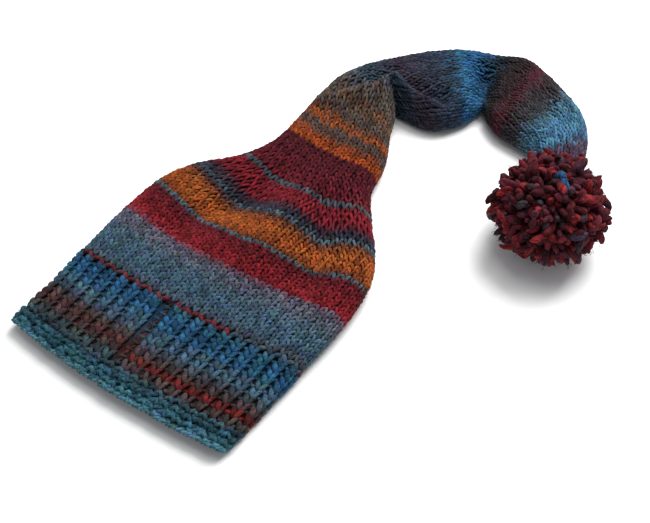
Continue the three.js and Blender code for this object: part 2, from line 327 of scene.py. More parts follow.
def add_attribute(mesh, name, kind, values):
    """Stores one value, or one vector, at each point of the mesh."""
    attribute = mesh.attributes.new(name, kind, "POINT")
    field = "vector" if kind == "FLOAT_VECTOR" else "value"
    attribute.data.foreach_set(field, np.asarray(values, np.float32).ravel())


def map_cells(count):
    """The lower corner and the size of each tube's cell on a square map, with a gap round it."""
    columns = math.ceil(math.sqrt(count))
    index = np.arange(count)
    corner = np.stack([index % columns, index // columns], -1) / columns
    gap = CELL_GAP / columns
    return corner + gap, 1 / columns - 2 * gap


def tube_mesh(name, tubes, wool_row):
    """One mesh from several sets of tubes. wool_row is each tube's place in the dyed wool."""
    total = sum(len(part["points"]) for part in tubes)
    corners, side = map_cells(total)
    points, wool, rows, shades = [], [], [], []
    faces = {4: [], 3: []}
    maps = {4: [], 3: []}
    first_point = 0
    first_tube = 0
    for part in tubes:
        count, each = part["points"].shape[:2]
        offsets = first_point + np.arange(count)[:, None, None] * each
        cell = corners[first_tube:first_tube + count, None, None]
        for corner_count, face, place in ((4, "quads", "quad_map"), (3, "tris", "tri_map")):
            faces[corner_count].append((part[face][None] + offsets).reshape(-1, corner_count))
            maps[corner_count].append((part[place][None] * side + cell).reshape(-1, 2))
        points.append(part["points"].reshape(-1, 3))
        wool.append(part["wool"].reshape(-1, 3))
        rows.append(np.repeat(wool_row[first_tube:first_tube + count], each))
        shades.append(part["shade"].ravel())
        first_point += count * each
        first_tube += count
    points = np.concatenate(points)
    points[:, 2] = np.maximum(points[:, 2], FLOOR_REST)
    mesh = mesh_of(
        name,
        points * MM,
        [np.concatenate(faces[4]), np.concatenate(faces[3])],
        [np.concatenate(maps[4]), np.concatenate(maps[3])],
    )
    add_attribute(mesh, "wool_place", "FLOAT_VECTOR", np.concatenate(wool))
    add_attribute(mesh, "wool_row", "FLOAT", np.concatenate(rows))
    # Each point's brightness: random tone times painted shade.
    add_attribute(mesh, "wool_tone_and_painted_shade", "FLOAT", np.concatenate(shades))
    return mesh


print("tube maker ready")

# %% [markdown]
# ## Wool
# The yarn is two soft plies of wool, dyed in long stretches of colour, so one strand makes all the
# stripes. Under a lens its fibres run along it in a slow twist, tufts of lighter and darker fibre
# show as a marl, and its scales scatter light at grazing angles, which gives a faint soft rim.
# A picture could carry the stripes, but a colour ramp read by the place of each stitch along the
# strand keeps every stitch whole, as the yarn does.

# %% Colours and nodes
def linear(code):
    """An sRGB hex colour as linear red, green, blue and alpha."""
    parts = [int(code[i:i + 2], 16) / 255 for i in (1, 3, 5)]
    return [p / 12.92 if p <= 0.04045 else ((p + 0.055) / 1.055) ** 2.4 for p in parts] + [1.0]


def add_node(tree, kind, settings, links):
    """Adds a node, sets its properties and inputs, and links its inputs from other sockets."""
    node = tree.nodes.new(kind)
    for name, value in settings.items():
        if isinstance(name, int) or name in node.inputs.keys():
            node.inputs[name].default_value = value
        else:
            setattr(node, name, value)
    for name, source in links.items():
        tree.links.new(source, node.inputs[name])
    return node


print("white paper is", [round(v, 2) for v in linear("#f4f4f2")])

# %% Wool material
WOOL_IOR = 1.55  # keratin
WOOL_ROUGHNESS = 0.9  # scaly fibres lying every way
FIBRE_MM = 0.9  # a tuft of fibres; single ones of 0.03 mm are too fine to show
MARL_MM = 6.0  # how long a tint lasts along the strand
FIBRE_STRETCH = 0.3  # fibres are about three times as long as they are wide
TINT = (0.78, 1.22)  # how far a tuft strays in each colour channel, as a factor
FIBRE_LIGHT = (0.5, 1.6)  # brightness of the darkest and the lightest fibres
# Painted shade in the groove between the plies and a little painted light on top of them.
PLY_PAINTED_SHADE = (0.45, 1.1)  # brightness in the groove between the plies and on top of them


def dyed_wool(name, first_row, last_row, dyes, wander):
    """Wool whose colour follows the place along the strand, counted in mm of knitting. dyes is a
    list of (place, hex colour), and wander is how far a tuft strays from its place."""
    material = bpy.data.materials.new(name)
    material.use_nodes = True
    tree = material.node_tree
    tree.nodes.clear()
    row = add_node(tree, "ShaderNodeAttribute", {"attribute_name": "wool_row"}, {})
    shade = add_node(tree, "ShaderNodeAttribute", {"attribute_name": "wool_tone_and_painted_shade"}, {})
    place = add_node(tree, "ShaderNodeAttribute", {"attribute_name": "wool_place"}, {})
    marl = add_node(
        tree, "ShaderNodeTexNoise", {"Scale": 1 / MARL_MM, "Detail": 3.0},
        {"Vector": place.outputs["Vector"]},
    )
    stretched = add_node(
        tree, "ShaderNodeVectorMath", {"operation": "MULTIPLY", 1: (1.0, 1.0, FIBRE_STRETCH)},
        {0: place.outputs["Vector"]},
    )
    fibres = add_node(
        tree, "ShaderNodeTexNoise", {"Scale": 1 / FIBRE_MM, "Detail": 3.0},
        {"Vector": stretched.outputs["Vector"]},
    )
    strayed = add_node(
        tree, "ShaderNodeMapRange",
        {"From Min": 0.25, "From Max": 0.75, "To Min": -wander, "To Max": wander},
        {"Value": marl.outputs["Fac"]},
    )
    dyed_row = add_node(
        tree, "ShaderNodeMath", {"operation": "ADD"},
        {0: row.outputs["Fac"], 1: strayed.outputs["Result"]},
    )
    along = add_node(
        tree, "ShaderNodeMapRange", {"From Min": first_row, "From Max": last_row},
        {"Value": dyed_row.outputs["Value"]},
    )
    ramp = add_node(tree, "ShaderNodeValToRGB", {}, {"Fac": along.outputs["Result"]})
    stops = ramp.color_ramp.elements
    while len(stops) < len(dyes):
        stops.new(0.5)
    for stop, (at, colour) in zip(stops, dyes):
        stop.position = (at - first_row) / (last_row - first_row)
        stop.color = linear(colour)
    # Tufts of other tints: each colour channel strays a little on its own.
    tint = add_node(
        tree, "ShaderNodeMapRange",
        {
            "data_type": "FLOAT_VECTOR", "From Min": (0.3,) * 3, "From Max": (0.7,) * 3,
            "To Min": (TINT[0],) * 3, "To Max": (TINT[1],) * 3,
        },
        {"Vector": marl.outputs["Color"]},
    )
    tinted = add_node(
        tree, "ShaderNodeVectorMath", {"operation": "MULTIPLY"},
        {0: ramp.outputs["Color"], 1: tint.outputs["Vector"]},
    )
    fibre_light = add_node(
        tree, "ShaderNodeMapRange",
        {"From Min": 0.3, "From Max": 0.7, "To Min": FIBRE_LIGHT[0], "To Max": FIBRE_LIGHT[1]},
        {"Value": fibres.outputs["Fac"]},
    )
    # Two plies twisted round each other leave a groove on either side of the strand: painted shade
    # in the groove and a little painted light on top of each ply.
    square = add_node(
        tree, "ShaderNodeVectorMath", {"operation": "MULTIPLY"},
        {0: place.outputs["Vector"], 1: place.outputs["Vector"]},
    )
    parts = add_node(tree, "ShaderNodeSeparateXYZ", {}, {"Vector": square.outputs["Vector"]})
    plies = add_node(
        tree, "ShaderNodeMath", {"operation": "SUBTRACT"},
        {0: parts.outputs["X"], 1: parts.outputs["Y"]},
    )
    ply_painted_shade = add_node(
        tree, "ShaderNodeMapRange",
        {"From Min": -PLY_RADIUS**2, "From Max": 0, "To Min": PLY_PAINTED_SHADE[0], "To Max": PLY_PAINTED_SHADE[1]},
        {"Value": plies.outputs["Value"]},
    )
    fibres_and_ply_shade = add_node(
        tree, "ShaderNodeMath", {"operation": "MULTIPLY"},
        {0: fibre_light.outputs["Result"], 1: ply_painted_shade.outputs["Result"]},
    )
    # Fibres and plies, then each point's random tone and painted shade.
    light = add_node(
        tree, "ShaderNodeMath", {"operation": "MULTIPLY"},
        {0: fibres_and_ply_shade.outputs["Value"], 1: shade.outputs["Fac"]},
    )
    lit = add_node(
        tree, "ShaderNodeVectorMath", {"operation": "SCALE"},
        {0: tinted.outputs["Vector"], "Scale": light.outputs["Value"]},
    )
    bump = add_node(
        tree, "ShaderNodeBump", {"Strength": 0.7, "Distance": 0.4 * MM},
        {"Height": fibres.outputs["Fac"]},
    )
    wool = add_node(
        tree, "ShaderNodeBsdfPrincipled",
        {
            "Roughness": WOOL_ROUGHNESS,
            "IOR": WOOL_IOR,
            "Specular IOR Level": 0.06,
            "Sheen Weight": 0.02,
            "Sheen Roughness": 0.5,
        },
        {"Base Color": lit.outputs["Vector"], "Normal": bump.outputs["Normal"]},
    )
    add_node(tree, "ShaderNodeOutputMaterial", {}, {"Surface": wool.outputs["BSDF"]})
    return material


# %% Dye tables
# Each place is in mm of knitting from the cast-on edge. A round of the cuff starts at the ladder
# and any other underneath the hat, so a dye that begins in the middle of a round shows on a part
# of its row only.
EDGING_DYES = [
    (-3, "#4d7885"), (1.5, "#406b79"), (5, "#2e5664"), (12, "#2c4f5c"), (17, "#38484f"),
]
CUFF_DYES = [
    (17, "#38494f"), (21, "#483f3d"), (27.4, "#48363a"), (28.1, "#6a2322"), (29.7, "#652220"),
    (30.4, "#4e2e2c"), (33, "#463433"), (37, "#483b3c"), (40, "#474446"), (43, "#424a52"),
    (47, "#40596a"), (53, "#415f73"), (56, "#42566a"), (58, "#2e576f"), (65, "#275472"),
    (71, "#244e6e"), (78, "#265270"), (84, "#2f566c"),
]
CROWN_DYES = [
    (84, "#3d3a42"), (85.9, "#4b3036"), (86.4, "#5c2529"), (88.0, "#5e2529"), (89.0, "#474149"),
    (92, "#42525f"), (104, "#3f5a6c"), (124, "#465c6b"), (134, "#565a68"), (146, "#585462"),
    (149.5, "#7b1e26"), (162, "#781d24"), (180, "#601921"), (186.6, "#4f1a22"), (187.3, "#46535a"),
    (190.2, "#46535a"), (191.4, "#64351f"), (199, "#93491f"), (214, "#9b5021"), (225, "#733d21"),
    (231.2, "#3f3237"), (232.4, "#485861"), (233.7, "#485861"), (234.5, "#2b333d"), (244, "#352733"),
    (249, "#6b1b25"), (262, "#741b25"), (267.4, "#571b23"), (268.3, "#424c51"), (271.2, "#424c51"),
    (272.6, "#5c1822"), (318, "#46161e"),
]
# The stops from 572 to 604 are darker than the yarn itself: painted shade in the hollow of the
# second kink.
TAIL_DYES_AND_KINK_SHADE = [
    (318, "#923f18"), (332, "#823b1c"), (338, "#503b32"), (350, "#4c403d"), (352, "#8a441d"),
    (359, "#7a3f23"), (364, "#4c3831"), (374, "#494440"), (385, "#62412c"), (396, "#474543"),
    (408, "#50423a"), (428, "#404d57"), (450, "#303d49"), (475, "#39303d"), (530, "#2c3c4c"),
    (541, "#2c5d82"), (560, "#2b5c84"), (572, "#23405a"), (584, "#222a31"), (604, "#2d2425"),
    (622, "#37262a"), (634, "#4e232d"), (652, "#393336"), (667, "#38363a"), (678, "#44606f"),
    (690, "#4a7690"), (706, "#46718c"), (724, "#3f6884"), (733, "#4a3848"), (743, "#4a3848"),
    (752, "#3b6484"), (780, "#335f84"),
]
EDGING_WOOL = dyed_wool("garter_wool_teal", -3, EDGING_DEPTH, EDGING_DYES, 2.0)
CUFF_WOOL = dyed_wool("rib_wool_brown_to_blue", EDGING_DEPTH, CUFF_END, CUFF_DYES, 1.2)
CROWN_WOOL = dyed_wool("crown_wool_striped", CUFF_END, CROWN_END, CROWN_DYES, 1.2)
TAIL_WOOL = dyed_wool("tail_wool_striped", CROWN_END, TAIL_END, TAIL_DYES_AND_KINK_SHADE, 4.0)
print(len(CROWN_DYES), "dye stops in the crown,", len(TAIL_DYES_AND_KINK_SHADE), "in the tail")

# %% [markdown]
# ## Stitches
# Plain knitting shows its V side: each stitch has two legs that come up between the legs of the
# stitch below, spread, and dive behind the stitch above. Modelled as one endless strand the
# bottom half would never be seen, so each leg is its own short tube that starts and ends inside.

# %% Yarn laid on the knitting
YARN_SINK = 2.1  # mm from the outer face of the solid to the middle of the yarn
ALONG_STRAY, LIFT_STRAY = 0.7, 0.6  # a tube strays less along the hat and in height than aside
THICK_STRAY = 0.07  # as a share of the radius
FLATTEN = 0.95  # the yarn is a little lower than it is wide
BRIGHT = (0.55, 1.45)  # brightness of the darkest and the lightest tube
# Painted shade on every tube: brightness one radius down, what a radius of lift adds,
# and the least, where a tube dives.
DEEP_LIGHT, LIFT_LIGHT, DIVED_LIGHT = 0.2, 0.4, 0.3
# A path is a table: mm along the hat, mm aside towards the left edge, mm of lift, share of the
# yarn's radius. Its ends dive into the fabric, where little light reaches them, and that shade
# is painted into their colour.
ALONG, ASIDE, LIFT, SWELL = range(4)


def lay_yarn(rows, turns, path, radius, random, sides=5, sink=YARN_SINK, untidy=0.35):
    """One short tube of yarn at each row and turn, bent as the path says. untidy is how many mm
    the tubes stray."""
    count = len(rows)
    stray = random.normal(0, untidy, (3, count, 1))
    lean = random.normal(0, untidy / 2, (count, 1)) * np.sign(path[:, ALONG])
    aside = (path[:, ASIDE] + stray[0] + lean) / way_round(rows)[:, None]
    points, normals = knit_surface(
        rows[:, None] + path[:, ALONG] + stray[1] * ALONG_STRAY, turns[:, None] + aside, sink,
    )
    centres = points + normals * (path[:, LIFT] + stray[2] * LIFT_STRAY)[..., None]
    thick = radius * path[:, SWELL] * (1 + random.normal(0, THICK_STRAY, (count, 1)))
    bright = random.uniform(*BRIGHT, (count, 1))
    # Painted shade: the colour darkens where the tube dives into the fabric.
    painted_depth_shade = DEEP_LIGHT + LIFT_LIGHT * (path[:, LIFT] / radius + 1)
    light = bright * np.clip(painted_depth_shade, DIVED_LIGHT, 1.0)
    return yarn_tubes(centres, normals, thick, thick * FLATTEN, light, sides)


HAIR_RADIUS = 0.17  # mm: a few fibres that cling together
HAIR_UNTIDY = 0.8
# A hair is a path too: it leaves the yarn, stands off it and bends away.
HAIR = np.array([
    [-2.6, -1.0, -0.8, 1.0],
    [0.2, 0.3, 1.7, 0.9],
    [2.6, 1.2, 2.5, 0.5],
])
# Each row of signs turns the path another way.
HAIR_LEANS = [(1, 1, 1, 1), (1, -1, 1, 1), (-1, 1, 1, 1), (-1, -1, 1, 1)]


def loose_hairs(start, end, count, random):
    """Hairs that stand off the yarn of any spun wool and soften its outline, and their rows."""
    rows = random.uniform(start, end, (len(HAIR_LEANS), count // len(HAIR_LEANS)))
    hairs = [
        lay_yarn(
            row, random.uniform(0, 1, len(row)), HAIR * lean, HAIR_RADIUS, random, sides=3,
            untidy=HAIR_UNTIDY,
        )
        for row, lean in zip(rows, HAIR_LEANS)
    ]
    return hairs, rows.ravel()


def strand_row(rows, turns, height, start=0.75):
    """The place along the dyed strand, in mm of knitting. start is the turn where rounds begin,
    and the stripes step by a row there."""
    return rows - height / 2 + height * ((turns - start) % 1.0)


def dress(name, mesh, material, node):
    """Puts a mesh into the scene as a piece of the hat that stands for a solid."""
    mesh.materials.append(material)
    piece = bpy.data.objects.new(name, mesh)
    bpy.context.scene.collection.objects.link(piece)
    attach(piece, "root")
    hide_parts(node)
    triangles = sum(len(face.vertices) - 2 for face in mesh.polygons)
    print(f"{name}: {triangles} triangles")


# %% Plain knitting
BODY_STITCH = 7.2  # mm across one V of the crown and tail
BODY_ROW = 5.0
BODY_YARN = 1.5  # mm, radius of the yarn where it is squeezed into a stitch
BODY_LEG = np.array([
    [-4.4, 0.5, -1.7, 0.60],
    [-2.5, 0.9, 0.3, 0.92],
    [0.0, 1.8, 0.7, 1.00],
    [2.5, 2.6, 0.1, 0.96],
    [4.4, 2.9, -1.9, 0.60],
])
MIRROR = np.array([1, -1, 1, 1])  # turns a left leg into a right one
# How many mm of knitting a stitch's colour strays, so that stripes break up along the tail.
STRAY_ROWS = [0, 300, 345, 400, 440, 780]
STRAY_MM = [0.4, 0.6, 2.0, 5.0, 4.0, 4.0]


def stitch_grid(start, end, height, width):
    """Rows and turns of every stitch between two rows. Columns run parallel to the middle of the
    upper side, and the ones that the narrowing takes away end underneath."""
    count = round((end - start) / height)
    step = (end - start) / count
    rows, turns = [], []
    for k in range(count):
        row = start + (k + 0.5) * step
        around = float(way_round(row))
        half = int(around / 2 // width)
        place = np.arange(-half, half + 1) * width
        place = place[np.abs(place) < (around - width) / 2 + 0.5]
        rows.append(np.full(len(place), row))
        turns.append(0.25 + place / around)
    return np.concatenate(rows), np.concatenate(turns), step


BODY_HAIRS = 1000  # in each of the four pieces of plain knitting


def plain_knit(name, start, end, material, node, seed):
    """A piece of plain knitting between two rows."""
    random = np.random.default_rng(seed)
    rows, turns, step = stitch_grid(start, end, BODY_ROW, BODY_STITCH)
    legs = [
        lay_yarn(rows, turns, path, BODY_YARN, random)
        for path in (BODY_LEG, BODY_LEG * MIRROR)
    ]
    strand = np.tile(strand_row(rows, turns, step), 2)
    strand += random.normal(0, 1, len(strand)) * np.interp(strand, STRAY_ROWS, STRAY_MM)
    hairs, hair_rows = loose_hairs(start, end, BODY_HAIRS, random)
    mesh = tube_mesh(name, legs + hairs, np.concatenate([strand, hair_rows]))
    dress(name, mesh, material, node)


FIRST_ROUND = 5.0  # mm, depth of the round above the ribs
CROWN_START = CUFF_END + FIRST_ROUND
CROWN_MIDDLE = (CUFF_END + CROWN_END) / 2
TAIL_MIDDLE = 535
plain_knit("crown_knit_lower", CROWN_START, CROWN_MIDDLE, CROWN_WOOL, "crown", 11)
plain_knit("crown_knit_upper", CROWN_MIDDLE, CROWN_END, CROWN_WOOL, "crown", 12)
plain_knit("tail_knit_lower", CROWN_END, TAIL_MIDDLE, TAIL_WOOL, "tail", 13)
plain_knit("tail_knit_upper", TAIL_MIDDLE, TAIL_END, TAIL_WOOL, "tail", 14)

# %% [markdown]
# ## Ribbing
# The cuff alternates one column of V stitches with one that shows its back. The knit columns stand
# up and the backs sink into dark grooves between them, which makes the cuff springy. These stitches
# are slack: the left leg of each V is plump, and the right one is long and thin. Where the rounds
# begin, the stitches stretched and left a ladder up the cuff, and the stripes step by a row.

# %% Rib stitches
RIB_ROUNDS = 10
RIB_ROW = (CUFF_END - EDGING_DEPTH) / RIB_ROUNDS
RIB_YARN = 2.45  # mm, radius of the slack yarn
PURL_YARN, PURL_SINK = 1.9, 4.4
RIB_HAIRS = 1600
RIB_COLUMNS = 36
LADDER_COLUMN = 10
LADDER_TURN = 0.268
LADDER_HALF = 4.0  # mm that the columns beside the ladder are pushed away
# Every rung takes this dark brown, not its row's colour: partly the ladder's brown, partly painted
# shade in its gap.
LADDER_DYE_AND_SHADE = 31.0  # mm along the strand, where it is dark brown
LADDER_SINK, LADDER_STRAY = 3.8, 0.5
# Columns are counted from the right edge: those right of the ladder, left of it and underneath.
COLUMN_MARKS = [0, LADDER_COLUMN, 18.3, RIB_COLUMNS]
COLUMN_TURNS = [0, LADDER_TURN, 0.5, 1.0]
LEFT_LEG = np.array([
    [-4.2, -1.6, -2.6, 0.50],
    [-2.6, -0.5, 0.1, 0.86],
    [-0.5, 1.0, 0.9, 1.00],
    [1.8, 2.5, 0.8, 0.96],
    [3.6, 3.6, -0.4, 0.76],
    [4.8, 4.1, -2.6, 0.45],
])
RIGHT_LEG = np.array([
    [-5.8, -1.5, -2.4, 0.45],
    [-3.6, -2.0, -0.4, 0.70],
    [-0.8, -2.4, 0.4, 0.78],
    [2.2, -2.9, 0.5, 0.76],
    [4.8, -3.4, -0.3, 0.66],
    [6.6, -3.7, -2.4, 0.42],
])
PURL_BUMP = np.array([
    [0.6, 3.4, -1.4, 0.60],
    [-0.4, 1.8, 0.0, 0.90],
    [-0.7, 0.0, 0.4, 1.00],
    [-0.4, -1.8, 0.0, 0.90],
    [0.6, -3.4, -1.4, 0.60],
])
LADDER_RUNG = np.array([
    [-6.0, 2.6, -2.6, 0.42],
    [-3.2, 1.4, -0.7, 0.52],
    [0.0, 0.2, -0.3, 0.55],
    [3.4, -1.0, -0.7, 0.52],
    [6.2, -2.2, -2.6, 0.42],
])


def rib_turns(columns, rows):
    """The turn of each rib column, moved aside where it borders the ladder."""
    turns = np.interp(columns % RIB_COLUMNS, COLUMN_MARKS, COLUMN_TURNS)
    beside = columns - LADDER_COLUMN
    push = np.where(np.abs(beside) < 1, np.sign(beside) * LADDER_HALF, 0)
    return turns + push / way_round(rows)


random = np.random.default_rng(21)
rounds = EDGING_DEPTH + (np.arange(RIB_ROUNDS) + 0.5) * RIB_ROW
rib_rows, columns = [
    grid.ravel() for grid in np.meshgrid(rounds, np.arange(RIB_COLUMNS) + 0.5, indexing="ij")
]
knit_turns = rib_turns(columns, rib_rows)
back_turns = rib_turns(columns + 0.5, rib_rows)
ladder_rows = rounds + random.normal(0, LADDER_STRAY, RIB_ROUNDS)
ladder_turns = np.full(RIB_ROUNDS, LADDER_TURN)
rib_tubes = [
    lay_yarn(rib_rows, knit_turns, LEFT_LEG, RIB_YARN, random, sides=7),
    lay_yarn(rib_rows, knit_turns, RIGHT_LEG, RIB_YARN, random, sides=7),
    lay_yarn(rib_rows, back_turns, PURL_BUMP, PURL_YARN, random, sides=6, sink=PURL_SINK),
    lay_yarn(ladder_rows, ladder_turns, LADDER_RUNG, RIB_YARN, random, sides=7, sink=LADDER_SINK),
]
rib_hairs, rib_hair_rows = loose_hairs(EDGING_DEPTH, CUFF_END, RIB_HAIRS, random)
rib_strand = np.concatenate([
    strand_row(rib_rows, knit_turns, RIB_ROW, LADDER_TURN),
    strand_row(rib_rows, knit_turns, RIB_ROW, LADDER_TURN),
    strand_row(rib_rows, back_turns, RIB_ROW, LADDER_TURN),
    # Dark brown with painted shade for every rung.
    np.full(RIB_ROUNDS, LADDER_DYE_AND_SHADE),
    rib_hair_rows,
])
rib_mesh = tube_mesh("cuff_ribbing", rib_tubes + rib_hairs, rib_strand)
dress("cuff_ribbing", rib_mesh, CUFF_WOOL, "ribbed_cuff")

# %% [markdown]
# ## The round above the ribs
# The first round of the crown is worked loosely over the ribs. It stands proud as a cord of plump
# bumps that lie across and up in turn, and its red ends before the right edge.

# %% First round of the crown
BUMP_UP = np.array([
    [-3.0, -2.0, -2.0, 0.6],
    [-1.4, -0.9, 0.5, 1.0],
    [0.6, 0.6, 0.9, 1.1],
    [2.4, 1.9, 0.2, 0.9],
    [3.6, 2.6, -2.0, 0.5],
])
BUMP_ACROSS = np.array([
    [-2.2, 3.6, -1.8, 0.6],
    [-1.2, 1.8, 0.5, 1.0],
    [0.0, 0.0, 0.9, 1.05],
    [1.2, -1.8, 0.5, 1.0],
    [2.2, -3.6, -1.8, 0.6],
])
RED_ENDS = 0.15  # the turn at which the red yarn gives way to grey
RED_DYE, RED_STRAY = 3.0, 0.9  # mm along the strand past the cuff, and how far a bump strays
PAST_RED = 9.0  # mm along the strand to where the grey is plain
FIRST_RISE = 0.35  # where the cord lies in its round
UP_YARN, ACROSS_YARN = 2.0, 1.9
UP_SHIFT, ACROSS_SHIFT = 0.12, 0.62  # of a rib column
first_row = np.full(RIB_COLUMNS, CUFF_END + FIRST_ROUND * FIRST_RISE)
first_columns = np.arange(RIB_COLUMNS) + 0.5
up_turns = rib_turns(first_columns + UP_SHIFT, first_row)
across_turns = rib_turns(first_columns + ACROSS_SHIFT, first_row)
first_tubes = [
    lay_yarn(first_row, up_turns, BUMP_UP, UP_YARN, random, sides=7),
    lay_yarn(first_row, across_turns, BUMP_ACROSS, ACROSS_YARN, random, sides=7),
]
first_turns = np.concatenate([up_turns, across_turns])
first_strand = CUFF_END + RED_DYE + random.normal(0, RED_STRAY, len(first_turns))
first_strand[first_turns < RED_ENDS] = CUFF_END + PAST_RED
first_mesh = tube_mesh("crown_first_round", first_tubes, first_strand)
dress("crown_first_round", first_mesh, CROWN_WOOL, "crown")

# %% [markdown]
# ## Edging
# The edge is garter stitch: knit and purl rounds in turn, so that bumps curved up and down lock into
# low ridges and the brim doesn't curl. The cast-on runs round the lip as a twisted cord.

# %% Garter bumps and cast-on cord
GARTER_RIDGES = 3
GARTER_RIDGE = EDGING_DEPTH / GARTER_RIDGES
GARTER_STITCHES = 58
GARTER_YARN = 2.1
GARTER_UNTIDY = 1.0
ARCH_PLACE, CUP_PLACE = 0.78, 0.36  # in the depth of a ridge
CUP_SINK = 3.7
RIDGE_SHIFT = 0.25  # of a stitch, from one ridge to the next
CAST_ON_TWISTS = 118
CAST_ON_YARN, CAST_ON_SINK, CAST_ON_UNTIDY = 1.3, 2.4, 0.45
CAST_ON_ROW, CAST_ON_DYE = 0.2, -2.0
EDGING_HAIRS = 600
ARCH = np.array([
    [-3.0, 4.0, -2.2, 0.55],
    [-0.6, 3.1, 0.2, 0.95],
    [1.3, 0.0, 1.0, 1.10],
    [-0.6, -3.1, 0.2, 0.95],
    [-3.0, -4.0, -2.2, 0.55],
])
CAST_ON = np.array([
    [-1.3, 3.9, -1.6, 0.55],
    [-0.7, 1.7, 0.2, 0.95],
    [0.5, -1.5, 0.2, 0.95],
    [1.2, -3.9, -1.6, 0.55],
])
UPSIDE_DOWN = np.array([-1, 1, 1, 1])
ridge_rows, stitch_index = [
    grid.ravel()
    for grid in np.meshgrid(np.arange(GARTER_RIDGES), np.arange(GARTER_STITCHES), indexing="ij")
]
arch_rows = (ridge_rows + ARCH_PLACE) * GARTER_RIDGE
cup_rows = (ridge_rows + CUP_PLACE) * GARTER_RIDGE
arch_turns = (stitch_index + RIDGE_SHIFT * ridge_rows) / GARTER_STITCHES
cup_turns = arch_turns + 0.5 / GARTER_STITCHES
cord_turns = np.arange(CAST_ON_TWISTS) / CAST_ON_TWISTS
cord_rows = np.full(CAST_ON_TWISTS, CAST_ON_ROW)
edging_tubes = [
    lay_yarn(arch_rows, arch_turns, ARCH, GARTER_YARN, random, sides=6, untidy=GARTER_UNTIDY),
    lay_yarn(
        cup_rows, cup_turns, ARCH * UPSIDE_DOWN, GARTER_YARN, random, sides=6, sink=CUP_SINK,
        untidy=GARTER_UNTIDY,
    ),
    lay_yarn(
        cord_rows, cord_turns, CAST_ON, CAST_ON_YARN, random, sides=6, sink=CAST_ON_SINK,
        untidy=CAST_ON_UNTIDY,
    ),
]
edging_hairs, edging_hair_rows = loose_hairs(0, EDGING_DEPTH, EDGING_HAIRS, random)
edging_strand = np.concatenate([
    strand_row(arch_rows, arch_turns, GARTER_RIDGE),
    strand_row(cup_rows, cup_turns, GARTER_RIDGE),
    np.full(CAST_ON_TWISTS, CAST_ON_DYE),
    edging_hair_rows,
])
edging_mesh = tube_mesh("edging_garter", edging_tubes + edging_hairs, edging_strand)
dress("edging_garter", edging_mesh, EDGING_WOOL, "brim_edging")

# %% [markdown]
# ## Pompom
# A pompom is yarn wound round two rings, tied between them and cut open, so hundreds of soft ends
# spread from the tie. Hair particles would be lost in an export, and a bumpy ball looks like felt,
# so each end is a fat tube that curls over: thin at the root, swelling where it opens and tapering
# at the cut, with a few fibres that stand off it.

# %% Pompom strands
POMPOM_CENTRE = np.array([220.0, 180.0, 51.0])
POMPOM_SQUASH = 0.92  # its own weight flattens it a little
POMPOM_REACH = (40.0, 54.5)  # shortest and longest end, in mm from the tie
POMPOM_ROOT = 22.0  # mm from the tie to where the ends begin
POMPOM_YARN = 3.5  # mm, radius of an end where it is widest
STRANDS = 860
POMPOM_DYES = [
    (0, "#2f1a20"), (18, "#431b23"), (36, "#501c24"), (54, "#682026"), (61, "#832726"),
    (68, "#5e1f27"), (80, "#43242e"), (88, "#3a2b34"), (94, "#363a43"), (97, "#2b4152"),
    (98.5, "#1f4a6c"), (100, "#1f4a6c"),
]
POMPOM_WOOL = dyed_wool("pompom_wool_maroon", 0, 100, POMPOM_DYES, 9.0)
STRAND_ALONG = np.array([0.0, 0.3, 0.52, 0.7, 0.84, 0.94, 1.0])
STRAND_SWELL = np.array([0.5, 0.72, 0.92, 1.0, 0.9, 0.66, 0.22])
# Painted shade: each end is darker towards its root, deep inside the ball.
STRAND_PAINTED_SHADE = np.array([0.1, 0.15, 0.35, 0.7, 1.0, 1.0, 1.0])
TAIL_ROOM = 21.0  # mm round the tail's tip in which strands reach out to hold it
TIP_REST = 53.0  # mm from the tie to the ends of those strands, where the tip rests on them
TIP_INSIDE = 4.0  # mm of the tail's knitting that those strands hold
STRAND_CURL = (0.1, 1.9)  # radians that a strand bends over between its root and its end
CURL_SHORTENS = 0.09  # share of its length that a strand loses, for each radian squared
STRAND_SCATTER = 0.045  # radians that a strand leans out of its even place
STRAND_THICK, STRAND_BRIGHT = (0.68, 1.2), (0.5, 1.3)  # least and most, as factors
STRAND_TWIST = 26.0  # mm along the strand to one turn of its pattern
STRAND_DYE = (6, 90)  # first and last place in the dyes that a strand can have
BLUE_PLACE = POMPOM_CENTRE + np.array([4.0, -8.0, 47.0])
BLUE_REACH, BLUE_DYE = 6.5, 99  # mm round the place of the one blue tuft, and its dye
POMPOM_HAIRS = 3000
POMPOM_HAIR_RADIUS = 0.2  # two or three fibres that cling together
HAIR_STATION = 3  # hairs begin no nearer the root than this station of their strand
HAIR_SPREAD = 0.45  # how far a hair's way strays from its strand's
HAIR_OUT = np.array([0.4, 2.4, 3.8])  # mm along the strand at each station of a hair
HAIR_ASIDE = np.array([2.4, 3.2, 2.4])  # mm off the middle of the strand there


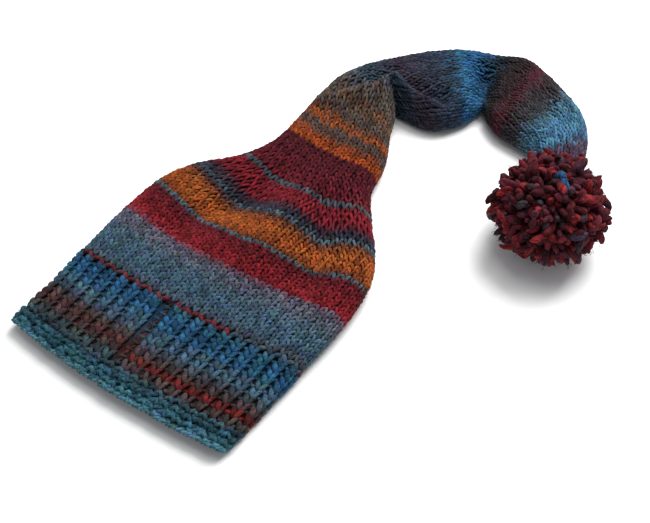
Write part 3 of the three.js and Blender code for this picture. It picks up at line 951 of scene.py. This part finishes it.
def pompom_strands(count, random):
    """Cut ends that spread evenly over a ball, each leaning its own way."""
    index = np.arange(count)
    height = 1 - 2 * (index + 0.5) / count
    angle = index * math.pi * (3 - math.sqrt(5))
    level = np.sqrt(1 - height**2)
    spread = np.stack([level * np.cos(angle), level * np.sin(angle), height], -1)
    spread = unit(spread + random.normal(0, STRAND_SCATTER, (count, 3)))
    lean = random.normal(0, 1, (count, 3))
    lean = unit(lean - (lean * spread).sum(-1, keepdims=True) * spread)
    curl = random.uniform(*STRAND_CURL, (count, 1))
    reach = random.uniform(*POMPOM_REACH, (count, 1))
    length = (reach - POMPOM_ROOT) / (1 - CURL_SHORTENS * curl**2)
    step = np.diff(STRAND_ALONG, prepend=0) * length
    bend = curl * STRAND_ALONG**2
    outward = POMPOM_ROOT + np.cumsum(np.cos(bend) * step, axis=1)
    over = np.cumsum(np.sin(bend) * step, axis=1)
    centres = spread[:, None] * outward[..., None] + lean[:, None] * over[..., None]
    centres[..., 2] *= POMPOM_SQUASH
    centres += POMPOM_CENTRE
    return centres, np.broadcast_to(np.cross(spread, lean)[:, None], centres.shape)


random = np.random.default_rng(31)
strands, strand_sides = pompom_strands(STRANDS, random)
tip_row = TAIL_END - TIP_INSIDE
tail_tip = knit_points(tip_row, 0.0, 0.0) / 2 + knit_points(tip_row, 0.5, 0.0) / 2
under_tail = np.linalg.norm(strands[:, -2] - tail_tip, axis=-1) < TAIL_ROOM
spokes = strands[under_tail] - POMPOM_CENTRE
spokes *= TIP_REST / np.linalg.norm(spokes[:, -1:], axis=-1, keepdims=True)
strands[under_tail] = POMPOM_CENTRE + spokes
print(under_tail.sum(), "strands reach out to hold the tip of the tail")
thick = POMPOM_YARN * STRAND_SWELL * random.uniform(*STRAND_THICK, (len(strands), 1))
# Painted shade along each end, times its own random tone.
strand_light = STRAND_PAINTED_SHADE * random.uniform(*STRAND_BRIGHT, (len(strands), 1))
strand_tubes = yarn_tubes(
    strands, strand_sides, thick, thick, strand_light, 7, twist_mm=STRAND_TWIST,
)
strand_dye = random.uniform(*STRAND_DYE, len(strands))
near_blue = np.linalg.norm(strands[:, -1] - BLUE_PLACE, axis=-1) < BLUE_REACH
strand_dye[near_blue] = BLUE_DYE
owner = random.integers(0, len(strands), POMPOM_HAIRS)
station = random.integers(HAIR_STATION, len(STRAND_ALONG) - 1, POMPOM_HAIRS)
hair_root = strands[owner, station]
outward = unit(hair_root - POMPOM_CENTRE)
along = unit(strands[owner, station + 1] - hair_root)
hair_way = unit(along + random.normal(0, HAIR_SPREAD, hair_root.shape))[:, None]
hair_side = unit(random.normal(0, 1, hair_root.shape))[:, None]
hair_points = (
    hair_root[:, None]
    + hair_way * HAIR_OUT[None, :, None]
    + hair_side * HAIR_ASIDE[None, :, None]
)
hair_thick = np.full((POMPOM_HAIRS, 3), POMPOM_HAIR_RADIUS)
hair_tubes = yarn_tubes(
    hair_points, np.broadcast_to(outward[:, None], hair_points.shape), hair_thick, hair_thick,
    np.ones((POMPOM_HAIRS, 3)), 3,
)
pompom_mesh = tube_mesh(
    "pompom_strands", [strand_tubes, hair_tubes], np.concatenate([strand_dye, strand_dye[owner]]),
)
dress("pompom_strands", pompom_mesh, POMPOM_WOOL, "pompom")

# %% [markdown]
# ## The wall behind the stitches
# Between the legs you look onto the back of the fabric, and the inside of the hat shows its purl
# side. A solid wall a little under the yarn stands for both, so no light leaks through.

# %% Backing walls
# Painted shade: the backing shows in the gaps between the stitches and inside the hat.
BACKING_PAINTED_SHADE = 0.3
SKIN_MAP = 0.48  # width that each skin takes on the map
RIM_MAP = 0.99  # place on the map of the narrow rims
LIP = 0.4  # mm from the cast-on edge to the backing
EDGING_INSET, CUFF_INSET, BODY_INSET = 3.4, 4.8, 2.8  # mm from the solid's face to the backing
HEAD_PANELS, TAIL_PANELS = 96, 64


def backing(name, start, end, depth, wall, around, material, node):
    """A closed wall between two rows, from under the stitches to the inner face. depth and wall
    are how deep its two skins lie, and around is how many panels go round."""
    count = max(2, round((end - start) / BODY_ROW))
    rows = np.linspace(start, end, count + 1)
    turns = np.arange(around) / around
    skins = [knit_points(rows[:, None], turns[None], inset) for inset in (depth, wall)]
    rings = count + 1
    points = np.concatenate([skin.reshape(-1, 3) for skin in skins])
    u, v = np.meshgrid(np.arange(around), np.arange(count))
    following = (u + 1) % around
    a, b = v * around + u, v * around + following
    outer = np.stack([a, a + around, b + around, b], -1).reshape(-1, 4)
    left, low = u / around * SKIN_MAP, v / rings
    right, high = left + SKIN_MAP / around, low + 1 / rings
    place = np.stack([
        np.stack([left, low], -1), np.stack([left, high], -1),
        np.stack([right, high], -1), np.stack([right, low], -1),
    ], 2).reshape(-1, 4, 2)
    inner_shift = rings * around
    edge = np.arange(around)
    turn = (edge + 1) % around
    top = count * around
    rims = [
        np.stack([edge, turn, turn + inner_shift, edge + inner_shift], -1),
        np.stack([edge, edge + inner_shift, turn + inner_shift, turn], -1) + top,
    ]
    rim_map = np.full((around, 4, 2), RIM_MAP)
    mesh = mesh_of(
        name,
        points * MM,
        [np.concatenate([outer, outer[:, ::-1] + inner_shift, *rims])],
        [np.concatenate([place, place[:, ::-1] + [0.5, 0], rim_map, rim_map])],
    )
    round_mm = np.tile(way_round(rows)[:, None] * turns[None], (2, 1)).ravel()
    grid_row = np.tile(np.repeat(rows, around), 2)
    add_attribute(
        mesh, "wool_place", "FLOAT_VECTOR", np.stack([round_mm, grid_row, 0 * grid_row], -1)
    )
    add_attribute(mesh, "wool_row", "FLOAT", grid_row)
    # Painted shade over the whole backing.
    add_attribute(mesh, "wool_tone_and_painted_shade", "FLOAT", np.full(len(points), BACKING_PAINTED_SHADE))
    dress(name, mesh, material, node)


backing(
    "edging_backing", LIP, EDGING_DEPTH, EDGING_INSET, EDGING_WALL, HEAD_PANELS,
    EDGING_WOOL, "brim_edging",
)
backing(
    "cuff_backing", EDGING_DEPTH, CUFF_END, CUFF_INSET, CUFF_WALL, HEAD_PANELS,
    CUFF_WOOL, "ribbed_cuff",
)
backing(
    "crown_backing", CUFF_END, CROWN_END, BODY_INSET, CROWN_WALL, HEAD_PANELS,
    CROWN_WOOL, "crown",
)
backing(
    "tail_backing", CROWN_END, TAIL_END, BODY_INSET, TAIL_WALL, TAIL_PANELS,
    TAIL_WOOL, "tail",
)

# %% [markdown]
# ## Studio
# A hat on a seamless white sweep under a very soft light: the floor is a large pale sheet and the
# sky a bright even grey. A wide lamp above and behind gives the soft shadow at the front, and a
# weaker one fills in from above.

# %% Floor, lights and camera
FLOOR_SIZE = 6.0  # m
PAPER_ROUGHNESS = 0.9
SKY_STRENGTH = 0.42
HAT_MIDDLE = (0.068, 0.050, 0.0)
CAMERA_PLACE = (0.4049, -0.4276, 0.6844)
LENS_MM, SENSOR_MM = 54.55, 36.0
bpy.ops.mesh.primitive_plane_add(size=FLOOR_SIZE, location=(0, 0, FLOOR_Z))
floor = bpy.context.object
floor.name = "studio_floor"
paper = bpy.data.materials.new("matt_white_paper")
paper.use_nodes = True
paper_shader = paper.node_tree.nodes["Principled BSDF"]
paper_shader.inputs["Base Color"].default_value = linear("#f4f4f2")
paper_shader.inputs["Roughness"].default_value = PAPER_ROUGHNESS
floor.data.materials.append(paper)

world = bpy.data.worlds.new("studio_sky")
world.use_nodes = True
world.node_tree.nodes["Background"].inputs["Color"].default_value = linear("#f7f9ff")
world.node_tree.nodes["Background"].inputs["Strength"].default_value = SKY_STRENGTH
bpy.context.scene.world = world


def soft_lamp(name, place, target, size, power):
    """A wide square lamp that faces a point: places and size in m, power in W."""
    lamp = bpy.data.lights.new(name, "AREA")
    lamp.size = size
    lamp.energy = power
    holder = bpy.data.objects.new(name, lamp)
    holder.location = place
    direction = Vector(target) - Vector(place)
    holder.rotation_euler = direction.to_track_quat("-Z", "Y").to_euler()
    bpy.context.scene.collection.objects.link(holder)


soft_lamp("window_light", (0.2, 0.9, 1.45), HAT_MIDDLE, 1.0, 35)
soft_lamp("top_light", (0.1, 0.2, 1.7), HAT_MIDDLE, 1.0, 10)

camera_data = bpy.data.cameras.new("camera")
camera_data.sensor_width = SENSOR_MM
camera_data.lens = LENS_MM
camera = bpy.data.objects.new("camera", camera_data)
camera.location = CAMERA_PLACE
aim = Vector(HAT_MIDDLE) - camera.location
camera.rotation_euler = aim.to_track_quat("-Z", "Y").to_euler()
bpy.context.scene.collection.objects.link(camera)
bpy.context.scene.camera = camera
bpy.context.scene.view_settings.view_transform = "Standard"
print("camera looks", [round(v, 2) for v in aim.normalized()])
